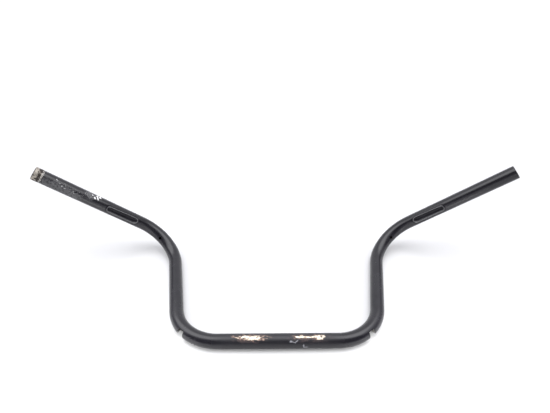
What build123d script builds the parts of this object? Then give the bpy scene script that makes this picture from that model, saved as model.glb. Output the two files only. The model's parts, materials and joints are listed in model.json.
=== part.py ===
"""A motorcycle handlebar: one bent steel tube, lying on its clamp section and risers.

The real bar is a single tube with no joint in it. Its nodes here are the stretches
between the places where its bends begin and end, and they meet face to face.

Frame, in millimetres: the origin is the middle of the clamp section, on the tube's
axis. +X runs to the rider's right, +Y up the risers and +Z back towards the rider.
"""

import os
from math import cos, radians, sin, sqrt, tan

from build123d import *

# The tube
TUBE_RADIUS = 12.7
WALL = 2.5
BORE_RADIUS = TUBE_RADIUS - WALL
END_CHAMFER = 0.6

# Corners of the right half's axis, before the bends round them
CLAMP_CENTRE = Vector(0, 0, 0)
LOWER_CORNER = Vector(170, 0, 0)
UPPER_CORNER = Vector(222, 267, 0)
GRIP_END = Vector(443, 219, 199)
LOWER_BEND_RADIUS = 82
UPPER_BEND_RADIUS = 80

# Wire notch: a flat cut across the lower outer side of the lower bend. Its side towards
# the riser slants, so the cut is longer under the tube. It was cut by hand: the left one
# sits a little further round its bend than the right one
NOTCH_SHARES = {"left": 0.55, "right": 0.50}
NOTCH_TOP_LENGTH = 12.2
NOTCH_SLANT = 0.45
NOTCH_DEPTH = 9.2
NOTCH_DIP = 26

# Wire hole: drilled through the upper bend's wall on the rider's side
HOLE_SHARE = 0.58
HOLE_ANGLE = 38
HOLE_DIAMETER = 6.5

# Dimple: a groove pressed into the tube where the switch wires pass under the controls
DIMPLE_START = 13.5
DIMPLE_LENGTH = 65
DIMPLE_PRESS_RADIUS = 7
DIMPLE_DEEP_DEPTH = 4.6
DIMPLE_DEEP_ANGLE = 23
DIMPLE_SHALLOW_DEPTH = 3.6
DIMPLE_SHALLOW_ANGLE = 28

UP = Vector(0, 0, 1)
SIDES = {"left": -1, "right": 1}


def on_side(vector, side):
    """The right half's vector, mirrored to the left half when side is -1."""
    return Vector(vector.X * side, vector.Y, vector.Z)


class Bend:
    """The arc that rounds one corner of the tube's axis."""

    def __init__(self, before, corner, after, radius):
        self.arriving = (corner - before).normalized()
        self.leaving = (after - corner).normalized()
        self.turn = self.arriving.get_angle(self.leaving)
        setback = radius * tan(radians(self.turn) / 2)
        self.start = corner - self.arriving * setback
        self.end = corner + self.leaving * setback
        normal = self.arriving.cross(self.leaving).normalized()
        self.axis = Axis(self.start + normal.cross(self.arriving) * radius, normal)

    def carried(self, vector, share=1.0):
        """A direction at the bend's start, turned with the tube along a share of the bend."""
        return vector.rotate(Axis(CLAMP_CENTRE, self.axis.direction), self.turn * share)

    def point(self, share):
        """The point of the tube's axis at a share of the bend."""
        centre = self.axis.position
        return centre + self.carried(self.start - centre, share)


class Half:
    """One side's bends, and the direction that stays on the tube's upper side."""

    def __init__(self, side):
        lower = on_side(LOWER_CORNER, side)
        upper = on_side(UPPER_CORNER, side)
        self.side = side
        self.grip_end = on_side(GRIP_END, side)
        self.lower = Bend(CLAMP_CENTRE, lower, upper, LOWER_BEND_RADIUS)
        self.upper = Bend(lower, upper, self.grip_end, UPPER_BEND_RADIUS)
        self.grip_up = self.upper.carried(UP)

    def around(self, along, up, angle):
        """The direction at an angle round the tube, from up towards its outer side."""
        outer = along.cross(up) * self.side
        return up * cos(radians(angle)) + outer * sin(radians(angle))


def tube_ring(origin, along):
    """The tube's cross section, on the plane across it at origin."""
    with BuildSketch(Plane(origin=origin, z_dir=along)) as ring:
        Circle(TUBE_RADIUS)
        Circle(BORE_RADIUS, mode=Mode.SUBTRACT)
    return ring.sketch


def bent_tube(bend):
    """A whole bend of the tube, before anything is cut in it."""
    with BuildPart() as tube:
        revolve(tube_ring(bend.start, bend.arriving), axis=bend.axis, revolution_arc=bend.turn)
    return tube.part


def straight_tube(start, end):
    """A straight stretch of the tube, before anything is cut in it."""
    with BuildPart() as tube:
        extrude(tube_ring(start, (end - start).normalized()), amount=(end - start).length)
    return tube.part


def save(part, name):
    """Label a finished piece and write it."""
    part.label = name
    export_step(part, f"parts/{name}.step")


def make_clamp_section(left, right):
    """The straight middle stretch that the handlebar clamps hold."""
    with BuildPart() as clamp_section:
        add(straight_tube(left.lower.start, right.lower.start))
    save(clamp_section.part, "clamp_section")


def make_lower_bend(half, name):
    """The bend from the clamp section into the riser, with its wire notch."""
    bend = half.lower
    share = NOTCH_SHARES[name]
    along = bend.carried(bend.arriving, share)
    outward = half.around(along, UP, 90 + NOTCH_DIP)
    notch_floor = bend.point(share) + outward * (TUBE_RADIUS - NOTCH_DEPTH)
    clamp_side = -NOTCH_TOP_LENGTH / 2
    riser_side = NOTCH_TOP_LENGTH / 2
    top = TUBE_RADIUS * half.side
    slanted_to = riser_side + NOTCH_SLANT * 2 * TUBE_RADIUS
    outline = ((clamp_side, top), (riser_side, top), (slanted_to, -top), (clamp_side, -top))
    with BuildPart() as lower_bend:
        add(bent_tube(bend))
        with BuildSketch(Plane(origin=notch_floor, x_dir=along, z_dir=outward)):
            Polygon(*outline, align=None)
        extrude(amount=2 * NOTCH_DEPTH, mode=Mode.SUBTRACT)
    save(lower_bend.part, f"{name}_lower_bend")


def make_riser(half, name):
    """The straight stretch between the two bends."""
    with BuildPart() as riser:
        add(straight_tube(half.lower.end, half.upper.start))
    save(riser.part, f"{name}_riser")


def make_upper_bend(half, name):
    """The bend from the riser into the grip's line, with its wire hole."""
    bend = half.upper
    along = bend.carried(bend.arriving, HOLE_SHARE)
    outward = half.around(along, bend.carried(UP, HOLE_SHARE), HOLE_ANGLE)
    with BuildPart() as upper_bend:
        add(bent_tube(bend))
        with BuildSketch(Plane(origin=bend.point(HOLE_SHARE), z_dir=outward)):
            Circle(HOLE_DIAMETER / 2)
        extrude(amount=2 * TUBE_RADIUS, mode=Mode.SUBTRACT)
    save(upper_bend.part, f"{name}_upper_bend")


def dimple_press(half, radius):
    """A round-ended bar of the given radius, lying in the dimple."""
    along = half.upper.leaving
    ends = []
    for place, inward, depth, angle in (
        (DIMPLE_START, 1, DIMPLE_DEEP_DEPTH, DIMPLE_DEEP_ANGLE),
        (DIMPLE_START + DIMPLE_LENGTH, -1, DIMPLE_SHALLOW_DEPTH, DIMPLE_SHALLOW_ANGLE),
    ):
        outward = half.around(along, half.grip_up, angle)
        lift = DIMPLE_PRESS_RADIUS - depth
        reach = sqrt(DIMPLE_PRESS_RADIUS**2 - lift**2)
        on_axis = half.upper.end + along * (place + inward * reach)
        ends.append(on_axis + outward * (TUBE_RADIUS + lift))
    deep, shallow = ends
    with BuildPart() as press:
        with BuildSketch(Plane(origin=deep, z_dir=(shallow - deep).normalized())):
            Circle(radius)
        extrude(amount=(shallow - deep).length)
        with Locations(deep, shallow):
            Sphere(radius)
    return press.part


def make_grip_section(half, name):
    """The straight, open end of the tube, for the controls and the grip, with its pressed dimple."""
    start = half.upper.end
    across = Plane(origin=start, z_dir=half.upper.leaving)
    length = (half.grip_end - start).length
    with BuildPart() as bore:
        with BuildSketch(across):
            Circle(BORE_RADIUS)
        extrude(amount=length)
        add(dimple_press(half, DIMPLE_PRESS_RADIUS + WALL), mode=Mode.SUBTRACT)
    with BuildPart() as grip_section:
        with BuildSketch(across):
            Circle(TUBE_RADIUS)
        extrude(amount=length)
        end_face = grip_section.faces().filter_by(GeomType.PLANE).sort_by_distance(half.grip_end)[0]
        chamfer(end_face.edges(), length=END_CHAMFER)
        add(dimple_press(half, DIMPLE_PRESS_RADIUS), mode=Mode.SUBTRACT)
        add(bore.part, mode=Mode.SUBTRACT)
    save(grip_section.part, f"{name}_grip_section")


os.makedirs("parts", exist_ok=True)
halves = {name: Half(side) for name, side in SIDES.items()}
make_clamp_section(halves["left"], halves["right"])
for name, half in halves.items():
    make_lower_bend(half, name)
    make_riser(half, name)
    make_upper_bend(half, name)
    make_grip_section(half, name)
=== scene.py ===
"""The looks of a worn black motorcycle handlebar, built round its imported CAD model.

Every CAD node is a stretch of one bent tube. Here each stretch is swept again as a fine
mesh on the same axis, with rounded edges, a pressed dimple and true cut walls, and it
replaces its node. Lengths are in metres, angles in degrees unless a name says otherwise.
"""

import json
import math

import bpy
import numpy as np
from mathutils import Matrix, Vector


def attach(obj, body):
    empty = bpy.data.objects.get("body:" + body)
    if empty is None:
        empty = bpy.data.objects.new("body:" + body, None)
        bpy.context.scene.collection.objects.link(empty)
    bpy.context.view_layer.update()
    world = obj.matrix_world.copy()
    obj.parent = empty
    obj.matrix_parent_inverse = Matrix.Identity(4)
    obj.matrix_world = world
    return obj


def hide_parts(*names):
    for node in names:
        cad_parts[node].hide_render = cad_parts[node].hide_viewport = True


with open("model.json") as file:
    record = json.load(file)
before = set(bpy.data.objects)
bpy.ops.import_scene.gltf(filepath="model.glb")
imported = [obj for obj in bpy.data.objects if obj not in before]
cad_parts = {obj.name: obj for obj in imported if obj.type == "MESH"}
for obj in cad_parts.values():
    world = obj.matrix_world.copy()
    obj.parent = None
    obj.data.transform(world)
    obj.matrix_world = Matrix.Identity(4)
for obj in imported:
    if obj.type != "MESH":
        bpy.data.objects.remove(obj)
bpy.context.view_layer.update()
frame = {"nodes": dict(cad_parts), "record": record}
mounts = {mount["name"]: mount for mount in frame["record"]["mounts"]}

MM = 0.001
TUBE_RADIUS = mounts["clamp_seat"]["dims"]["r_mm"] * MM
BORE_RADIUS = mounts["right_bar_end"]["dims"]["r_mm"] * MM
FLOOR_Z = -TUBE_RADIUS

# ---------------------------------------------------------------- the tube's axis


def unit(vector):
    return vector / np.linalg.norm(vector)


def end_middles(node):
    """The middles of a straight stretch's two end rings, from its CAD mesh."""
    vertices = frame["nodes"][node].data.vertices
    points = np.unique(np.array([v.co[:] for v in vertices]).round(6), axis=0)
    offsets = points - points.mean(0)
    along = offsets @ np.linalg.svd(offsets, full_matrices=False)[2][0]
    return points[along < 0].mean(0), points[along > 0].mean(0)


def crossing(point_a, along_a, point_b, along_b):
    """Where two lines cross, or the middle of the gap where they nearly do."""
    lines = np.column_stack([along_a, -along_b])
    steps = np.linalg.lstsq(lines, point_b - point_a, rcond=None)[0]
    return (point_a + along_a * steps[0] + point_b + along_b * steps[1]) / 2


def axis_corners():
    """The right half's axis before its bends are rounded: its corners and their radii."""
    clamp_end = max(end_middles("clamp_section"), key=lambda p: p[0])
    riser_low, riser_high = sorted(end_middles("right_riser"), key=lambda p: p[1])
    seat = mounts["right_grip_seat"]
    grip_point = np.array(seat["pos_m"])
    grip_along = np.array(seat["axis"])
    riser_along = unit(riser_high - riser_low)
    lower = crossing(clamp_end, np.array([1.0, 0, 0]), riser_low, riser_along)
    upper = crossing(riser_high, riser_along, grip_point, grip_along)
    vertices = frame["nodes"]["right_grip_section"].data.vertices
    reach = max((np.array(v.co) - grip_point) @ grip_along for v in vertices)
    grip_end = grip_point + grip_along * reach
    corners = [np.zeros(3), lower, upper, grip_end]
    setbacks = [np.linalg.norm(lower - clamp_end), np.linalg.norm(upper - riser_high)]
    return corners, setbacks


class Axis:
    """The right half's axis: distance along it gives a point and a turned frame."""

    def __init__(self, corners, setbacks):
        ways = [unit(b - a) for a, b in zip(corners, corners[1:])]
        ends = [0.0] + setbacks + [0.0]
        point = corners[0]
        up = np.array([0.0, 0, 1])
        start = 0.0
        self.spans = []
        for i, way in enumerate(ways):
            run = np.linalg.norm(corners[i + 1] - corners[i]) - ends[i] - ends[i + 1]
            self.spans.append((start, run, point, way, up, None, 0.0))
            start += run
            point = point + way * run
            if i + 1 < len(ways):
                turn = math.acos(way @ ways[i + 1])
                radius = setbacks[i] / math.tan(turn / 2)
                normal = unit(np.cross(way, ways[i + 1]))
                self.spans.append((start, radius * turn, point, way, up, normal, radius))
                start += radius * turn
                point = corners[i + 1] + ways[i + 1] * setbacks[i]
                up = self.turned(up, normal, np.array([turn]))[0]
        self.length = start
        self.breaks = [span[0] for span in self.spans] + [self.length]

    @staticmethod
    def turned(vector, normal, angle):
        """A vector turned about a normal by each of an array of angles."""
        c, s = np.cos(angle)[:, None], np.sin(angle)[:, None]
        return vector * c + np.cross(normal, vector) * s + normal * (normal @ vector) * (1 - c)

    def frames(self, along):
        """Points, directions, upper sides and outer sides at distances along the axis."""
        along = np.asarray(along, float).ravel()
        points, ways, ups = (np.zeros((len(along), 3)) for _ in range(3))
        index = np.clip(np.searchsorted(self.breaks, along, "right") - 1, 0, len(self.spans) - 1)
        for i, (start, _, point, way, up, normal, radius) in enumerate(self.spans):
            here = index == i
            step = along[here] - start
            if normal is None:
                points[here] = point + way * step[:, None]
                ways[here] = way
                ups[here] = up
            else:
                centre = point + np.cross(normal, way) * radius
                points[here] = centre + self.turned(point - centre, normal, step / radius)
                ways[here] = self.turned(way, normal, step / radius)
                ups[here] = self.turned(up, normal, step / radius)
        return points, ways, ups, np.cross(ways, ups)


axis = Axis(*axis_corners())
LOWER_BEND, RISER, UPPER_BEND, CONTROLS, TUBE_END = axis.breaks[1:]

# ---------------------------------------------------------------- the tube's surfaces

# The wire notch, a flat cut with a slanted side: how far round the lower bend each one is,
# where round the tube, and its block of the mesh, whose middle is nearer to the riser
NOTCH_SHARES = {-1: 0.55, 1: 0.50}
NOTCH_ANGLE = 116.0
NOTCH_DEPTH = 9.2 * MM
NOTCH_TOP_LENGTH = 12.2 * MM
NOTCH_SLANT = 0.45
NOTCH_BLOCK_SHIFT = 5 * MM
LOWER_BEND_RADIUS = axis.spans[1][6]

# The wire hole: how far round the upper bend it is, where round the tube, and its size
HOLE_SHARE = 0.58
HOLE_MIDDLE = UPPER_BEND + HOLE_SHARE * (CONTROLS - UPPER_BEND)
HOLE_ANGLE = 38.0
HOLE_RADIUS = 3.25 * MM

# The rounded edges of the cuts and the open end, and the rings of faces laid round a cut
CUT_EDGE = 0.35 * MM
END_EDGE = 0.6 * MM
EDGE_STEPS = 3
CUT_RINGS = 5
CUT_RING_CROWDING = 0.8
# Half the rows and columns of the mesh block that each cut takes the place of
NOTCH_HALF_BLOCK = (7, 34)
HOLE_HALF_BLOCK = (3, 12)

# The dimple, left by a round-ended bar pressed into the straight end: where it begins and
# ends, how deep each end is and how far round the tube it lies
WALL = TUBE_RADIUS - BORE_RADIUS
DIMPLE_START = CONTROLS + 13.5 * MM
DIMPLE_END = DIMPLE_START + 65 * MM
PRESS_RADIUS = 7 * MM
PRESS_DEPTHS = (4.6 * MM, 3.6 * MM)
PRESS_ANGLES = (23.0, 28.0)
LIP_ROUNDING = 0.6 * MM
HALVINGS = 24

# The bead that the press raised round the dimple, and the slight moat outside it
BEAD_HEIGHT = 0.45 * MM
BEAD_WIDTH = 1.2 * MM
MOAT_DEPTH = 0.3 * MM
MOAT_OUT = 2.6 * MM
MOAT_WIDTH = 1.3 * MM

# The stretches, and the rows of vertices along them: the stretch, its part's ends and the step
STRETCHES = ("clamp_section", "lower_bend", "riser", "upper_bend", "grip_section")
CLAMP_SECTION, LOWER_BEND_STRETCH, RISER_STRETCH, UPPER_BEND_STRETCH, GRIP_SECTION = range(5)
COLUMNS = 144
SAME_PLACE = 1e-9
STRAIGHT_STEP = 4 * MM
BEND_STEP = 2.4 * MM
FINE_STEP = 0.8 * MM
FINE_MARGIN = 3 * MM
RUNS = (
    (CLAMP_SECTION, 0.0, LOWER_BEND, STRAIGHT_STEP),
    (LOWER_BEND_STRETCH, LOWER_BEND, RISER, BEND_STEP),
    (RISER_STRETCH, RISER, UPPER_BEND, STRAIGHT_STEP),
    (UPPER_BEND_STRETCH, UPPER_BEND, CONTROLS, BEND_STEP),
    (GRIP_SECTION, CONTROLS, DIMPLE_START - FINE_MARGIN, BEND_STEP),
    (GRIP_SECTION, DIMPLE_START - FINE_MARGIN, DIMPLE_END + FINE_MARGIN, FINE_STEP),
    (GRIP_SECTION, DIMPLE_END + FINE_MARGIN, TUBE_END - END_EDGE, STRAIGHT_STEP),
)


def press_line():
    """The ends of the pressing bar's middle line, on the tube drawn out straight."""
    ends = []
    for place, inward, depth, degrees in zip((DIMPLE_START, DIMPLE_END), (1, -1),
                                             PRESS_DEPTHS, PRESS_ANGLES):
        lift = PRESS_RADIUS - depth
        reach = math.sqrt(PRESS_RADIUS**2 - lift**2)
        out = TUBE_RADIUS + lift
        turn = math.radians(degrees)
        ends.append((place + inward * reach, out * math.sin(turn), out * math.cos(turn)))
    return np.array(ends)


def from_press_line(along, angle, radius):
    """How far places on the tube, drawn out straight, are from the pressing bar's middle line."""
    first, last = press_line()
    line = last - first
    point = np.stack([along, radius * np.sin(angle), radius * np.cos(angle)], -1)
    share = np.clip((point - first) @ line / (line @ line), 0, 1)
    return np.linalg.norm(point - first - share[..., None] * line, axis=-1)


def pressed(along, angle, radius, press_radius):
    """A skin's radius at places on the tube, where the pressing bar may hold it in."""
    along, angle = np.broadcast_arrays(np.asarray(along, float), angle)
    low = np.zeros(along.shape)
    high = np.full(along.shape, radius + LIP_ROUNDING)
    for _ in range(HALVINGS):
        middle = (low + high) / 2
        clear = from_press_line(along, angle, middle) > press_radius
        low, high = np.where(clear, middle, low), np.where(clear, high, middle)
    nearness = np.clip(0.5 + (high - radius) / (2 * LIP_ROUNDING), 0, 1)
    return high + (radius - high) * nearness - LIP_ROUNDING * nearness * (1 - nearness)


class Skin:
    """Vertices, faces and surface notes of half of the tube, drawn as the right half."""

    def __init__(self):
        self.along, self.angle, self.radius, self.bare = [], [], [], []
        self.faces, self.face_stretch = [], []

    def add(self, along, angle, radius, bare):
        """Add vertices from arrays of one shape, and give their numbers in that shape."""
        along, angle, radius, bare = np.broadcast_arrays(along, angle, radius, bare)
        first = sum(len(a) for a in self.along)
        for kept, new in zip((self.along, self.angle, self.radius, self.bare),
                             (along, angle, radius, bare)):
            kept.append(new.ravel().astype(float))
        return first + np.arange(along.size).reshape(along.shape)

    def quads(self, rows, stretch, closed=True, inward=False):
        """Join each row of vertex numbers to the next with four-sided faces."""
        rows = np.asarray(rows)
        ahead = np.roll(rows, -1, axis=1) if closed else rows[:, 1:]
        here = rows if closed else rows[:, :-1]
        faces = np.stack([here[:-1], ahead[:-1], ahead[1:], here[1:]], -1).reshape(-1, 4)
        self.faces.append(faces[:, ::-1] if inward else faces)
        self.face_stretch.append(np.full(len(faces), stretch))

    def finish(self):
        """The vertices' positions, normals and straightened positions."""
        along, angle, radius = (np.concatenate(a) for a in (self.along, self.angle, self.radius))
        points, ways, ups, outers = axis.frames(along)
        c, s = np.cos(angle), np.sin(angle)
        self.points = points + radius[:, None] * (ups * c[:, None] + outers * s[:, None])
        self.straight = np.stack([along, radius * s, radius * c], 1)
        self.bare = np.concatenate(self.bare)
        self.faces = np.concatenate(self.faces)
        self.face_stretch = np.concatenate(self.face_stretch)
        corners = self.points[self.faces]
        crosses = np.cross(corners[:, 2] - corners[:, 0], corners[:, 3] - corners[:, 1])
        normals = np.zeros_like(self.points)
        for k in range(4):
            np.add.at(normals, self.faces[:, k], crosses)
        normals[along == 0, 0] = 0
        lengths = np.linalg.norm(normals, axis=1)
        self.normals = normals / np.where(lengths > 0, lengths, 1)[:, None]


def station_list():
    """Distances along the axis of the rings, and the stretch that each gap is in."""
    stations, stretches = [0.0], []
    for index, start, end, step in RUNS:
        count = max(2, round((end - start) / step))
        stations += list(np.linspace(start, end, count + 1)[1:])
        stretches += [index] * count
    return np.array(stations), np.array(stretches)


def outer_radius(along, angle):
    """The outer skin's radius, with the dimple and the bead round it."""
    along, angle = np.broadcast_arrays(np.asarray(along, float), angle)
    outside = from_press_line(along, angle, np.full(along.shape, TUBE_RADIUS)) - PRESS_RADIUS
    bead = BEAD_HEIGHT * np.exp(-((outside / BEAD_WIDTH) ** 2))
    moat = MOAT_DEPTH * np.exp(-(((outside - MOAT_OUT) / MOAT_WIDTH) ** 2))
    return pressed(along, angle, TUBE_RADIUS, PRESS_RADIUS) + bead - moat


def inner_radius(along, angle):
    """The bore's radius, where the pressed wall bulges into it."""
    return pressed(along, angle, BORE_RADIUS, PRESS_RADIUS + WALL)


def block_loop(rows, columns):
    """Grid places round a block's border, in order, as row and column numbers."""
    top = [(rows[0], c) for c in columns[:-1]]
    right = [(r, columns[-1]) for r in rows[:-1]]
    bottom = [(rows[-1], c) for c in columns[:0:-1]]
    left = [(r, columns[0]) for r in rows[:0:-1]]
    return np.array(top + right + bottom + left)


def circle_rim(share, radius):
    """The wire hole's rim, spread evenly round it from the block's border places."""
    turn = np.arctan2(share[:, 1], share[:, 0])
    return np.cos(turn) * HOLE_RADIUS, np.sin(turn) * HOLE_RADIUS / radius


def cut_wall(skin, outer_grid, inner_grid, stations, stretch, middle, angle, half_block, rim):
    """Cut an opening through both skins with rounded edges; returns the block's cells."""
    row_mid = int(np.argmin(np.abs(stations - middle)))
    column_mid = round(math.radians(angle) / (2 * math.pi) * COLUMNS)
    rows = np.arange(row_mid - half_block[0], row_mid + half_block[0] + 1)
    columns = np.arange(column_mid - half_block[1], column_mid + half_block[1] + 1)
    loop = block_loop(rows, columns)
    loop_along = stations[loop[:, 0]] - middle
    loop_angle = loop[:, 1] * 2 * math.pi / COLUMNS - math.radians(angle)
    reach = np.array([np.abs(loop_along).max(), np.abs(loop_angle).max()])
    share = np.stack([loop_along, loop_angle], 1) / reach
    walls = []
    for grid, surface, sign in ((outer_grid, outer_radius, 1), (inner_grid, inner_radius, -1)):
        radius = TUBE_RADIUS if sign > 0 else BORE_RADIUS
        rim_along, rim_angle = rim(share, radius)
        grow = 1 + CUT_EDGE / np.hypot(rim_along, rim_angle * radius)
        rings = [grid[loop[:, 0], loop[:, 1] % COLUMNS]]
        for k in range(1, CUT_RINGS + 1):
            t = (k / CUT_RINGS) ** CUT_RING_CROWDING
            a = loop_along * (1 - t) + rim_along * grow * t
            b = loop_angle * (1 - t) + rim_angle * grow * t
            bare = 0.0 if sign > 0 else 1.0
            a, b = a + middle, b + math.radians(angle)
            rings.append(skin.add(a, b, surface(a, b), bare))
        for k in range(1, EDGE_STEPS + 1):
            turn = math.pi / 2 * k / EDGE_STEPS
            g = 1 + (grow - 1) * (1 - math.sin(turn))
            a, b = rim_along * g + middle, rim_angle * g + math.radians(angle)
            drop = sign * CUT_EDGE * (1 - math.cos(turn))
            rings.append(skin.add(a, b, surface(a, b) - drop, 0.5 if k == 1 else 1.0))
        skin.quads(rings, stretch, inward=sign < 0)
        walls.append(rings[-1])
    skin.quads(walls, stretch)
    return {(r, c % COLUMNS) for r in rows[:-1] for c in columns[:-1]}


def notch_rim(share, radius):
    """The notch's rim. It is a flat cut, so it is narrower on the bore than on the outside."""
    floor = TUBE_RADIUS - NOTCH_DEPTH
    turn = share[:, 1] * math.acos(floor / radius)
    below_top = math.sqrt(TUBE_RADIUS**2 - floor**2) + radius * np.sin(turn)
    clamp_side = -NOTCH_TOP_LENGTH / 2
    riser_side = NOTCH_TOP_LENGTH / 2 + NOTCH_SLANT * below_top
    across = clamp_side + (riser_side - clamp_side) * (share[:, 0] + 1) / 2
    out = radius * np.sin(turn + math.radians(NOTCH_ANGLE))
    on_axis = across * LOWER_BEND_RADIUS / (LOWER_BEND_RADIUS + out)
    return on_axis - NOTCH_BLOCK_SHIFT, turn


def build_skin(notch_share):
    """Half of the tube: both skins, the cuts through them and the open end."""
    skin = Skin()
    stations, stretches = station_list()
    angles = np.arange(COLUMNS) * 2 * math.pi / COLUMNS
    s, a = np.meshgrid(stations, angles, indexing="ij")
    outer = skin.add(s, a, outer_radius(s, a), 0.0)
    inner = skin.add(s, a, inner_radius(s, a), 1.0)
    cut = set()
    notch_block = LOWER_BEND + notch_share * (RISER - LOWER_BEND) + NOTCH_BLOCK_SHIFT
    notch = (LOWER_BEND_STRETCH, notch_block, NOTCH_ANGLE, NOTCH_HALF_BLOCK, notch_rim)
    hole = (UPPER_BEND_STRETCH, HOLE_MIDDLE, HOLE_ANGLE, HOLE_HALF_BLOCK, circle_rim)
    for stretch, middle, angle, half_block, rim in (notch, hole):
        cut |= cut_wall(skin, outer, inner, stations, stretch, middle, angle, half_block, rim)
    for k, stretch in enumerate(stretches):
        for grid, inward in ((outer, False), (inner, True)):
            whole = [c for c in range(COLUMNS) if (k, c) not in cut]
            ahead = [(c + 1) % COLUMNS for c in whole]
            faces = np.stack([grid[k, whole], grid[k, ahead],
                              grid[k + 1, ahead], grid[k + 1, whole]], 1)
            skin.faces.append(faces[:, ::-1] if inward else faces)
            skin.face_stretch.append(np.full(len(faces), stretch))
    rings = [outer[-1]]
    for k in range(1, EDGE_STEPS + 1):
        turn = math.pi / 2 * k / EDGE_STEPS
        along = TUBE_END - END_EDGE * (1 - math.sin(turn))
        drop = END_EDGE * (1 - math.cos(turn))
        rings.append(skin.add(along, angles, TUBE_RADIUS - drop, 0.5))
    for k in range(1, EDGE_STEPS + 1):
        turn = math.pi / 2 * (1 - k / EDGE_STEPS)
        along = TUBE_END - CUT_EDGE * (1 - math.sin(turn))
        drop = CUT_EDGE * (1 - math.cos(turn))
        rings.append(skin.add(along, angles, BORE_RADIUS + drop, 1.0))
    rings.append(inner[-1])
    skin.quads(rings, GRIP_SECTION)
    skin.finish()
    return skin, outer, inner, stations


def build_piece(name, skin, stretch, side, outer, inner, stations):
    """One stretch as a closed mesh object on the given side, replacing its CAD node."""
    ends = [place for run in RUNS if run[0] == stretch for place in run[1:3]]
    rows = [int(np.argmin(np.abs(stations - place))) for place in (ends[0], ends[-1])]
    chosen = skin.faces[skin.face_stretch == stretch]
    caps = []
    for row, flip in ((rows[0], True), (rows[1], False)):
        at_open_end = stretch == GRIP_SECTION and not flip
        at_middle = stretch == CLAMP_SECTION and flip
        if not at_open_end and not at_middle:
            ring = np.stack([outer[row], np.roll(outer[row], -1),
                             np.roll(inner[row], -1), inner[row]], 1)
            caps.append(ring[:, ::-1] if flip else ring)
    faces = np.concatenate([chosen] + caps)
    used, local = np.unique(faces, return_inverse=True)
    faces = local.reshape(-1, 4)
    points, straight = skin.points[used].copy(), skin.straight[used].copy()
    normals, bare = skin.normals[used].copy(), skin.bare[used]
    loop_normals = normals[faces]
    cap_count = sum(len(c) for c in caps)
    if cap_count:
        flat = np.cross(points[faces[:, 2]] - points[faces[:, 0]],
                        points[faces[:, 3]] - points[faces[:, 1]])
        flat /= np.linalg.norm(flat, axis=1)[:, None]
        loop_normals[-cap_count:] = flat[-cap_count:, None, :]
    mirror = np.array([-1.0, 1, 1])
    parts = [(points, straight, loop_normals, faces, bare)]
    mirrored = (points * mirror, straight * mirror, loop_normals[:, ::-1] * mirror,
                faces[:, ::-1], bare)
    if stretch == CLAMP_SECTION:
        return make_mesh(name, *welded(parts + [mirrored], points))
    return make_mesh(name, *(mirrored if side < 0 else parts[0]))


def welded(parts, points):
    """Both halves of the clamp section as one mesh, sharing the ring at the middle."""
    count = len(points)
    at_middle = np.abs(points[:, 0]) < SAME_PLACE
    number = np.where(at_middle, np.arange(count), count + np.cumsum(~at_middle) - 1)
    right, left = parts
    keep = ~at_middle
    return (
        np.concatenate([right[0], left[0][keep]]),
        np.concatenate([right[1], left[1][keep]]),
        np.concatenate([right[2], left[2]]),
        np.concatenate([right[3], number[left[3]]]),
        np.concatenate([right[4], left[4][keep]]),
    )


def make_mesh(name, points, straight, loop_normals, faces, bare):
    """A mesh object with the tube's own normals and its surface notes."""
    mesh = bpy.data.meshes.new(name)
    mesh.from_pydata(points.tolist(), [], faces.tolist())
    mesh.polygons.foreach_set("use_smooth", [True] * len(faces))
    note = mesh.attributes.new("straight", "FLOAT_VECTOR", "POINT")
    note.data.foreach_set("vector", straight.astype(np.float32).ravel())
    note = mesh.attributes.new("bare", "FLOAT", "POINT")
    note.data.foreach_set("value", bare.astype(np.float32))
    radius = np.full(len(points), TUBE_RADIUS)
    angle = np.arctan2(straight[:, 1], straight[:, 2])
    dimple_edge = from_press_line(np.abs(straight[:, 0]), angle, radius) - PRESS_RADIUS
    note = mesh.attributes.new("dimple_edge", "FLOAT", "POINT")
    note.data.foreach_set("value", dimple_edge.astype(np.float32))
    mesh.normals_split_custom_set(loop_normals.reshape(-1, 3).tolist())
    piece = bpy.data.objects.new(name, mesh)
    bpy.context.scene.collection.objects.link(piece)
    return piece


# The clamp section holds both of its halves, so it is built only once
pieces = {}
for side_name, side in (("left", -1), ("right", 1)):
    skin, outer, inner, stations = build_skin(NOTCH_SHARES[side])
    for stretch, stretch_name in enumerate(STRETCHES):
        node = stretch_name if stretch == CLAMP_SECTION else f"{side_name}_{stretch_name}"
        if node not in pieces:
            piece = build_piece(f"tube_{node}", skin, stretch, side, outer, inner, stations)
            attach(piece, "root")
            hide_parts(node)
            pieces[node] = piece

# ---------------------------------------------------------------- the paint, and the light and shade painted into it


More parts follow.
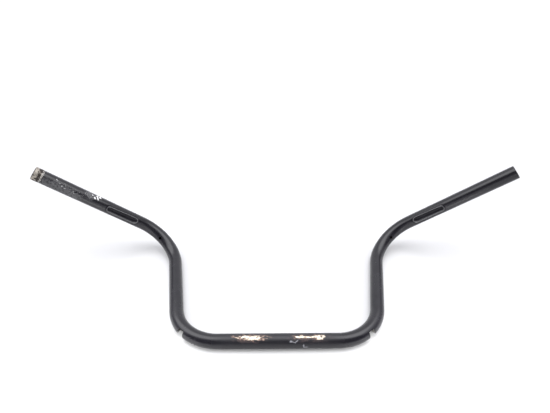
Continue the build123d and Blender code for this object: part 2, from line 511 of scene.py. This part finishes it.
class Nodes:
    """A node tree, with short ways to add the nodes that the materials use."""

    def __init__(self, tree):
        self.tree = tree
        tree.nodes.clear()

    def add(self, kind, inputs, **settings):
        """A node with its settings made and its inputs set or linked."""
        node = self.tree.nodes.new(kind)
        for name, value in settings.items():
            setattr(node, name, value)
        for key, value in inputs.items():
            if isinstance(value, bpy.types.NodeSocket):
                self.tree.links.new(value, node.inputs[key])
            else:
                node.inputs[key].default_value = value
        return node

    def math(self, operation, a, b=0.0):
        return self.add("ShaderNodeMath", {0: a, 1: b}, operation=operation).outputs[0]

    def attribute(self, name, output):
        return self.add("ShaderNodeAttribute", {}, attribute_name=name).outputs[output]

    def ramp(self, value, low, high, low_value=0.0, high_value=1.0):
        """A smooth step from one value to another as the input goes from low to high."""
        inputs = {"Value": value, "From Min": low, "From Max": high,
                  "To Min": low_value, "To Max": high_value}
        node = self.add("ShaderNodeMapRange", inputs, interpolation_type="SMOOTHSTEP")
        return node.outputs["Result"]

    def noise(self, place, size, detail=3.0, stretch=(1, 1, 1), output="Fac"):
        """Noise between 0 and 1 with grains of about the given size."""
        scale = tuple(1 / (size * k) for k in stretch)
        moved = self.add("ShaderNodeMapping", {"Vector": place, "Scale": scale}).outputs[0]
        inputs = {"Vector": moved, "Scale": 1.0, "Detail": detail, "Roughness": 0.55}
        return self.add("ShaderNodeTexNoise", inputs).outputs[output]

    def mix(self, share, first, second):
        """One colour laid over another by a share."""
        node = self.add("ShaderNodeMix", {0: share, 6: first, 7: second}, data_type="RGBA")
        return node.outputs[2]

    def blend(self, share, first, second):
        """One number laid over another by a share."""
        node = self.add("ShaderNodeMix", {0: share, 2: first, 3: second}, data_type="FLOAT")
        return node.outputs[0]

    def most(self, values):
        """The largest of several masks."""
        total = values[0]
        for value in values[1:]:
            total = self.math("MAXIMUM", total, value)
        return total

    def shaken(self, place, size, amount):
        """The place, moved about by noise so that what is drawn with it has a ragged edge."""
        noise = self.noise(place, size, output="Color")
        inputs = {0: noise, 1: (0.5, 0.5, 0.5)}
        centred = self.add("ShaderNodeVectorMath", inputs, operation="SUBTRACT").outputs[0]
        inputs = {0: centred, "Scale": amount * 2}
        moved = self.add("ShaderNodeVectorMath", inputs, operation="SCALE").outputs[0]
        return self.add("ShaderNodeVectorMath", {0: place, 1: moved}, operation="ADD").outputs[0]

    def reach(self, place, along, angle, length, width, turn=0.0, depth=8 * MM):
        """How far out of an oval spot on the tube a place is: 0 its middle, 1 its edge."""
        turned = Matrix.Rotation(math.radians(-angle), 3, "X")
        turned = turned @ Matrix.Rotation(math.radians(turn), 3, "Z")
        a = math.radians(angle)
        middle = (along, TUBE_RADIUS * math.sin(a), TUBE_RADIUS * math.cos(a))
        inputs = {"Vector": place, "Location": middle, "Rotation": turned.to_euler(),
                  "Scale": (length / 2, width / 2, depth)}
        local = self.add("ShaderNodeMapping", inputs, vector_type="TEXTURE").outputs[0]
        return self.add("ShaderNodeVectorMath", {0: local}, operation="LENGTH").outputs["Value"]

    def spot(self, *place_and_size, soft=0.3, **more):
        """1 inside an oval spot on the tube and 0 outside it."""
        return self.ramp(self.reach(*place_and_size, **more), 1 + soft, 1 - soft)


# Marks on the paint: the middle along the tube from its centre, with the left side
# negative, and round it, the length and width in mm, and the turn on the surface.
# Chips down to bright primer on the left grip, and the smaller and duller flecks round them
CHIPS = (
    (-0.5645, -41, 6.5, 3.6, 25),
    (-0.5685, -24, 10.0, 2.4, 62),
    (-0.5735, -13, 5.0, 2.6, 40),
    (-0.5640, -55, 4.5, 2.0, 80),
    (-0.5700, -48, 9.0, 2.0, -50),
    (-0.5790, -30, 3.6, 2.0, 30),
)
FLECKS = (
    (-0.6475, -21, 2.6, 1.2, 75),
    (-0.6455, -14, 3.2, 1.1, -20),
    (-0.6400, 2, 1.8, 0.9, 30),
    (-0.6350, 15, 2.2, 1.3, -35),
    (-0.6290, 23, 3.6, 1.1, -25),
    (-0.6130, 19, 2.0, 1.5, 60),
    (-0.6110, 30, 1.6, 1.0, 10),
    (-0.5870, -30, 2.0, 1.0, 40),
    (-0.5930, -14, 1.6, 1.0, -30),
)
# The clamp marks: stained patches, and in them the spots worn through to bright steel
CLAMP_STAINS = (
    (-0.0460, 9, 50, 15, 0),
    (-0.0640, 34, 12, 7, 20),
    (0.0530, 10, 52, 14, 0),
)
CLAMP_STEEL = (
    (-0.0460, 8, 36, 7, 0),
    (-0.0340, 13, 12, 5, -8),
    (0.0350, 5, 15, 4.4, 0),
    (0.0520, 10, 12, 2.8, 0),
    (0.0660, 9, 16, 5.4, 0),
    (0.0770, 0, 6, 3, 0),
)
# The squiggle and the nick by the right clamp
PALE_MARKS = (
    (0.0220, 40, 5.0, 3.2, 0),
    (0.0270, 47, 6.0, 1.8, 15),
    (0.0315, 38, 7.0, 1.6, -40),
    (0.0430, 74, 1.9, 6.0, 0),
    (0.0465, 88, 8.0, 2.4, -5),
)

# Zones of wear on the left grip, written as marks are: the scuffed film, the mottling
# round the chips and the band of specks
SCUFF_ZONE = (-0.6360, 54, 78, 22, 0)
CHIP_ZONE = (-0.5820, -25, 26, 18, 0)
SPECK_ZONE = (-0.6280, 14, 84, 11, 0)

# Where the left end is scraped: where the paint stops, the light line's two sides, and the
# stretch over which the scrapes grow paler
SCRAPE_EDGE = (-672 * MM, -673.5 * MM)
LINE_RIM_SIDE = (-672.8 * MM, -672.2 * MM)
LINE_PAINT_SIDE = (-670.8 * MM, -671.5 * MM)
RIM_STRETCH = (-675 * MM, -684.5 * MM)

# Distance along the tube to the middle of the wire notches, and how far along the tube and
# from its axis the bore there is painted pale, as if lit through the notch
NOTCH_MIDDLE = 162 * MM
PAINTED_LIT_BORE_ALONG = (20 * MM, 14 * MM)
PAINTED_LIT_BORE_FROM_AXIS = (11.2 * MM, 10.6 * MM)

# How far from the bar's middle the clamps have rubbed the paint dull
RUBBED = (120 * MM, 85 * MM)

# Colours: red, green, blue and cover
PAINT = (0.0055, 0.005, 0.0075, 1)
PALER_PAINT = (0.0085, 0.008, 0.011, 1)
DUST = (0.05, 0.05, 0.054, 1)
# The next colour is a painted highlight: a pale line along the dimple's lip
PAINTED_LIP_HIGHLIGHT = (0.12, 0.12, 0.125, 1)
SCUFFED_PAINT = (0.058, 0.058, 0.062, 1)
SPECKS = (0.2, 0.2, 0.205, 1)
DARK_STAIN = (0.022, 0.015, 0.02, 1)
BROWN_STAIN = (0.075, 0.048, 0.038, 1)
PRIMER = (0.26, 0.17, 0.13, 1)
DARK_STEEL = (0.42, 0.35, 0.26, 1)
BRIGHT_STEEL = (0.86, 0.81, 0.68, 1)
SCRAPED_DARK = (0.03, 0.024, 0.02, 1)
SCRAPED_PALE = (0.33, 0.3, 0.26, 1)
LIGHT_LINE = (0.5, 0.47, 0.43, 1)
PALE_MARK = (0.2, 0.2, 0.22, 1)
FLECK = (0.42, 0.42, 0.42, 1)
CHIP = (0.8, 0.8, 0.8, 1)
BORE = (0.035, 0.028, 0.024, 1)
# The next colour is painted light: the bore's steel painted pale beside the notches, as if lit
# through them
PAINTED_LIT_BORE = (0.75, 0.74, 0.72, 1)

# Roughness of the paint where it is smoothest and least smooth, and of what is worn
SMOOTH_PAINT = (0.2, 0.28)
RUBBED_ROUGHNESS = 0.45
SCUFFED_ROUGHNESS = 0.5
WORN_ROUGHNESS = 0.48

# Specular level of the paint, and the lower level that paints shade in the dimple's recess and its
# moat
PAINT_GLOSS = 0.5
DIMPLE_SHADE_GLOSS = 0.16

# Heights in the paint: its orange peel, its grain and the step down where it has worn off
PEEL_HEIGHT = 0.035 * MM
GRAIN_HEIGHT = 0.006 * MM
PAINT_THICKNESS = 0.12 * MM


def mark_place(mark):
    """A mark's numbers in metres and degrees."""
    along, angle, length, width, turn = mark
    return along, angle, length * MM, width * MM, turn


def wear_masks(nodes, place):
    """The place, shaken coarsely, and how far each kind of mark has taken the paint, 0 to 1."""
    ragged = nodes.shaken(place, 2.5 * MM, 1.6 * MM)
    coarse = nodes.shaken(place, 9 * MM, 3.5 * MM)
    chips, flecks, pale = (nodes.most([nodes.spot(ragged, *mark_place(mark)) for mark in marks])
                           for marks in (CHIPS, FLECKS, PALE_MARKS))
    return coarse, chips, flecks, pale


def nearest_mark(nodes, place, marks):
    """How far out of the nearest of several marks a place is: 0 its middle, 1 its edge."""
    nearest = nodes.reach(place, *mark_place(marks[0]))
    for mark in marks[1:]:
        nearest = nodes.math("MINIMUM", nearest, nodes.reach(place, *mark_place(mark)))
    return nearest


def bar_material():
    """Worn black paint over steel, with scrapes, chips and clamp marks, and painted light: shade
    in the dimple, a highlight on its lip and a pale bore by the notches.
    """
    material = bpy.data.materials.new("worn_black_paint_and_painted_light")
    material.use_nodes = True
    nodes = Nodes(material.node_tree)
    place = nodes.attribute("straight", "Vector")
    bare = nodes.attribute("bare", "Fac")
    dimple_edge = nodes.attribute("dimple_edge", "Fac")
    along = nodes.add("ShaderNodeSeparateXYZ", {0: place}).outputs["X"]
    coarse, chips, flecks, pale = wear_masks(nodes, place)
    fine = nodes.noise(place, 1.1 * MM, detail=4)
    grain = nodes.noise(place, 4 * MM, detail=5)
    broad = nodes.noise(place, 22 * MM, detail=4)

    # Clamp marks: bright steel in the middle, primer round it, then a brown stain
    streaks = nodes.noise(place, 2.6 * MM, detail=5, stretch=(2.5, 1, 1))
    uneven = nodes.ramp(streaks, 0.32, 0.68, -0.65, 0.65)
    steel_edge = nodes.math("ADD", nearest_mark(nodes, coarse, CLAMP_STEEL), uneven)
    stain_edge = nodes.math("ADD", nearest_mark(nodes, coarse, CLAMP_STAINS), uneven)
    clamp_steel = nodes.ramp(steel_edge, 1.0, 0.75)
    clamp_primer = nodes.ramp(steel_edge, 1.45, 1.05)
    clamp_stain = nodes.ramp(stain_edge, 1.2, 0.7)

    # The scraped left end, down to steel
    shaken_along = nodes.math("ADD", along, nodes.ramp(grain, 0.3, 0.7, -1.5 * MM, 1.5 * MM))
    scraped = nodes.ramp(shaken_along, *SCRAPE_EDGE)
    # The scuffed left grip
    scuff_zone = nodes.reach(coarse, *mark_place(SCUFF_ZONE), depth=14 * MM)
    scuffed = nodes.math("MULTIPLY", nodes.ramp(scuff_zone, 1.2, 0.8),
                         nodes.ramp(grain, 0.38, 0.52))
    # The light line where the paint stops, before the scraped end
    end_line = nodes.math("MULTIPLY", nodes.ramp(shaken_along, *LINE_RIM_SIDE),
                          nodes.ramp(shaken_along, *LINE_PAINT_SIDE))
    # The mottling round the chips, and the specks
    chip_zone = nodes.reach(coarse, *mark_place(CHIP_ZONE), depth=12 * MM)
    mottled = nodes.math("MULTIPLY", nodes.ramp(chip_zone, 1.2, 0.7), nodes.ramp(fine, 0.5, 0.58))
    speck_zone = nodes.reach(coarse, *mark_place(SPECK_ZONE), depth=10 * MM)
    specks = nodes.math("MULTIPLY", nodes.ramp(speck_zone, 1.2, 0.8), nodes.ramp(fine, 0.56, 0.64))

    # The dimple: painted shade in the recess and in the moat round it, where the paint is made
    # less reflective, and a painted highlight along the lip, a pale line in the paint's colour
    painted_lip_highlight = nodes.math("MULTIPLY", nodes.ramp(dimple_edge, -0.7 * MM, -0.1 * MM),
                     nodes.ramp(dimple_edge, 1.2 * MM, 0.6 * MM))
    moat = nodes.math("MULTIPLY", nodes.ramp(dimple_edge, 0.8 * MM, 1.4 * MM),
                      nodes.ramp(dimple_edge, 4.2 * MM, 2.8 * MM))
    # Painted shade: the recess and the moat are made less reflective, so they look darker
    dimple_painted_shade = nodes.math("MAXIMUM", nodes.ramp(dimple_edge, -0.4 * MM, -1.4 * MM),
                        nodes.math("MULTIPLY", moat, 0.6))

    # The colour, from the paint up to the brightest chips, and then the bore
    colour = nodes.mix(nodes.ramp(broad, 0.3, 0.7), PAINT, PALER_PAINT)
    colour = nodes.mix(nodes.ramp(fine, 0.66, 0.76, 0.0, 0.35), colour, DUST)
    # A painted highlight: the dimple's lip painted pale
    colour = nodes.mix(nodes.math("MULTIPLY", painted_lip_highlight, 0.65), colour, PAINTED_LIP_HIGHLIGHT)
    colour = nodes.mix(scuffed, colour, SCUFFED_PAINT)
    colour = nodes.mix(nodes.math("MAXIMUM", mottled, specks), colour, SPECKS)
    stain = nodes.mix(nodes.ramp(streaks, 0.35, 0.65), DARK_STAIN, BROWN_STAIN)
    colour = nodes.mix(clamp_stain, colour, stain)
    colour = nodes.mix(clamp_primer, colour, PRIMER)
    steel = nodes.mix(nodes.ramp(fine, 0.35, 0.65), DARK_STEEL, BRIGHT_STEEL)
    colour = nodes.mix(clamp_steel, colour, steel)
    rim_grain = nodes.math("ADD", grain, nodes.ramp(along, *RIM_STRETCH, -0.14, 0.1))
    end_colour = nodes.mix(nodes.ramp(rim_grain, 0.42, 0.55), SCRAPED_DARK, SCRAPED_PALE)
    colour = nodes.mix(scraped, colour, end_colour)
    colour = nodes.mix(nodes.math("MULTIPLY", end_line, 0.7), colour, LIGHT_LINE)
    for mask, mark_colour in ((pale, PALE_MARK), (flecks, FLECK), (chips, CHIP)):
        colour = nodes.mix(mask, colour, mark_colour)
    from_middle = nodes.math("ABSOLUTE", along)
    from_notch = nodes.math("SUBTRACT", from_middle, NOTCH_MIDDLE)
    inputs = {0: place, 1: (0, 1, 1)}
    across = nodes.add("ShaderNodeVectorMath", inputs, operation="MULTIPLY").outputs[0]
    from_axis = nodes.add("ShaderNodeVectorMath", {0: across}, operation="LENGTH").outputs["Value"]
    # Painted light: the bore beside each notch is painted pale, as if lit through the notch;
    # elsewhere it is dark rusty steel
    near_notch = nodes.ramp(nodes.math("ABSOLUTE", from_notch), *PAINTED_LIT_BORE_ALONG)
    bore_painted_lit = nodes.math("MULTIPLY", near_notch, nodes.ramp(from_axis, *PAINTED_LIT_BORE_FROM_AXIS))
    inside = nodes.ramp(bare, 0.6, 0.95)
    colour = nodes.mix(inside, colour, nodes.mix(bore_painted_lit, BORE, PAINTED_LIT_BORE))

    metal = nodes.math("MAXIMUM", nodes.math("MULTIPLY", clamp_steel, 0.85),
                       nodes.math("MULTIPLY", scraped, 0.5))
    worn = nodes.most([clamp_stain, clamp_primer, scraped, chips, flecks, pale, inside])
    roughness = nodes.ramp(broad, 0.3, 0.7, *SMOOTH_PAINT)
    roughness = nodes.blend(nodes.ramp(from_middle, *RUBBED), roughness, RUBBED_ROUGHNESS)
    scuffs = nodes.math("MAXIMUM", scuffed, mottled)
    roughness = nodes.blend(scuffs, roughness, SCUFFED_ROUGHNESS)
    roughness = nodes.blend(worn, roughness, WORN_ROUGHNESS)

    peel = nodes.noise(place, 5 * MM, detail=1.5)
    height = nodes.math("MULTIPLY", peel, PEEL_HEIGHT)
    height = nodes.math("SUBTRACT", height, nodes.math("MULTIPLY", worn, PAINT_THICKNESS))
    height = nodes.math("ADD", height, nodes.math("MULTIPLY", fine, GRAIN_HEIGHT))
    inputs = {"Height": height, "Strength": 1.0, "Distance": 1.0}
    bump = nodes.add("ShaderNodeBump", inputs).outputs["Normal"]
    # The lower specular level in the dimple is painted shade
    gloss = nodes.blend(dimple_painted_shade, PAINT_GLOSS, DIMPLE_SHADE_GLOSS)
    inputs = {"Base Color": colour, "Metallic": metal, "Roughness": roughness, "Normal": bump,
              "Specular IOR Level": gloss}
    shader = nodes.add("ShaderNodeBsdfPrincipled", inputs)
    nodes.add("ShaderNodeOutputMaterial", {"Surface": shader.outputs["BSDF"]})
    return material


paint = bar_material()
for piece in pieces.values():
    piece.data.materials.append(paint)

# ---------------------------------------------------------------- floor, lights and camera

FLOOR_HALF = 7.0
FLOOR_ROUGHNESS = 0.9
FLOOR_PALENESS = 0.68
SOFTBOX_PLACE = (-0.3, 0.235, 0.8)
SOFTBOX_SIZE = (2.0, 0.67)
SOFTBOX_POWER = 7.5
OVERHEAD_STRENGTH = 1.6
OVERHEAD_SPREAD = 40
SIDE_LAMP_PLACE = (0.36, -0.12, 0.09)
SIDE_LAMP_AIM = (0.165, 0.015, 0.0)
SIDE_LAMP_SIZE = 0.16
SIDE_LAMP_POWER = 1.1
WORLD_COLOUR = (0.94, 0.945, 1.0, 1)
CAMERA_PLACE = (-0.0125, -0.4276, 0.5972)
CAMERA_PITCH = 36.35
CAMERA_YAW = 0.87
CAMERA_ROLL = 0.34
CAMERA_LENS = 27.03


def make_floor():
    """A plain pale floor under the bar."""
    signs = ((-1, -1), (1, -1), (1, 1), (-1, 1))
    corners = [(x * FLOOR_HALF, y * FLOOR_HALF, FLOOR_Z) for x, y in signs]
    mesh = bpy.data.meshes.new("floor")
    mesh.from_pydata(corners, [], [(0, 1, 2, 3)])
    floor = bpy.data.objects.new("floor", mesh)
    bpy.context.scene.collection.objects.link(floor)
    material = bpy.data.materials.new("pale_floor")
    material.use_nodes = True
    nodes = Nodes(material.node_tree)
    inputs = {"Base Color": (FLOOR_PALENESS, FLOOR_PALENESS, FLOOR_PALENESS, 1),
              "Roughness": FLOOR_ROUGHNESS, "Specular IOR Level": 0.0}
    shader = nodes.add("ShaderNodeBsdfPrincipled", inputs)
    nodes.add("ShaderNodeOutputMaterial", {"Surface": shader.outputs["BSDF"]})
    mesh.materials.append(material)


def make_world():
    """Soft studio light: bright overhead, behind the bar and along the horizon, dim in front."""
    world = bpy.data.worlds.new("studio")
    bpy.context.scene.world = world
    world.use_nodes = True
    nodes = Nodes(world.node_tree)
    way = nodes.add("ShaderNodeTexCoord", {}).outputs["Generated"]
    split = nodes.add("ShaderNodeSeparateXYZ", {0: way})
    to_back, upward = split.outputs["Y"], split.outputs["Z"]
    sideways = nodes.math("ABSOLUTE", split.outputs["X"])
    room = nodes.ramp(to_back, -0.45, 0.0, 0.2, 1.25)
    room = nodes.math("MULTIPLY", room, nodes.ramp(sideways, 0.45, 0.85, 1.0, 0.6))
    ceiling = nodes.math("MULTIPLY", nodes.ramp(to_back, -0.4, -0.1),
                         nodes.ramp(to_back, 0.6, 0.25))
    ceiling = nodes.math("MULTIPLY", ceiling, nodes.ramp(upward, 0.45, 0.75, 0.0, 1.0))
    horizon = nodes.ramp(upward, 0.25, 0.1, 0.0, 1.1)
    brightness = nodes.math("MAXIMUM", nodes.math("ADD", room, ceiling), horizon)
    inputs = {"Color": WORLD_COLOUR, "Strength": brightness}
    light = nodes.add("ShaderNodeBackground", inputs)
    nodes.add("ShaderNodeOutputWorld", {"Surface": light.outputs[0]})


def make_softbox():
    """A wide soft lamp hung over the risers, facing straight down."""
    lamp = bpy.data.lights.new("softbox", "AREA")
    lamp.shape = "RECTANGLE"
    lamp.size, lamp.size_y = SOFTBOX_SIZE
    lamp.energy = SOFTBOX_POWER
    holder = bpy.data.objects.new("softbox", lamp)
    holder.location = SOFTBOX_PLACE
    holder.visible_camera = False
    holder.visible_diffuse = False
    bpy.context.scene.collection.objects.link(holder)


def make_overhead():
    """The light from straight above that keeps the floor pale right up to the bar."""
    lamp = bpy.data.lights.new("overhead", "SUN")
    lamp.energy = OVERHEAD_STRENGTH
    lamp.angle = math.radians(OVERHEAD_SPREAD)
    holder = bpy.data.objects.new("overhead", lamp)
    holder.visible_glossy = False
    bpy.context.scene.collection.objects.link(holder)


def make_side_lamps():
    """A soft lamp low down beside each lower bend, which lights the wire notches and the floor."""
    for side in (-1, 1):
        mirror = Vector((side, 1, 1))
        lamp = bpy.data.lights.new("side_lamp", "AREA")
        lamp.shape = "SQUARE"
        lamp.size = SIDE_LAMP_SIZE
        lamp.energy = SIDE_LAMP_POWER
        holder = bpy.data.objects.new("side_lamp", lamp)
        holder.location = mirror * Vector(SIDE_LAMP_PLACE)
        aim = mirror * Vector(SIDE_LAMP_AIM) - holder.location
        holder.rotation_euler = aim.to_track_quat("-Z", "Y").to_euler()
        holder.visible_camera = False
        holder.visible_glossy = False
        bpy.context.scene.collection.objects.link(holder)


def make_camera():
    """The camera, over the clamp section and looking down along the risers."""
    camera = bpy.data.objects.new("camera", bpy.data.cameras.new("camera"))
    camera.data.lens = CAMERA_LENS
    yaw = Matrix.Rotation(math.radians(-CAMERA_YAW), 4, "Z")
    pitch = Matrix.Rotation(math.radians(90 - CAMERA_PITCH), 4, "X")
    roll = Matrix.Rotation(math.radians(CAMERA_ROLL), 4, "Z")
    camera.matrix_world = Matrix.Translation(CAMERA_PLACE) @ yaw @ pitch @ roll
    bpy.context.scene.collection.objects.link(camera)
    bpy.context.scene.camera = camera


make_floor()
make_world()
make_softbox()
make_overhead()
make_side_lamps()
make_camera()
bpy.context.scene.view_settings.view_transform = "Standard"
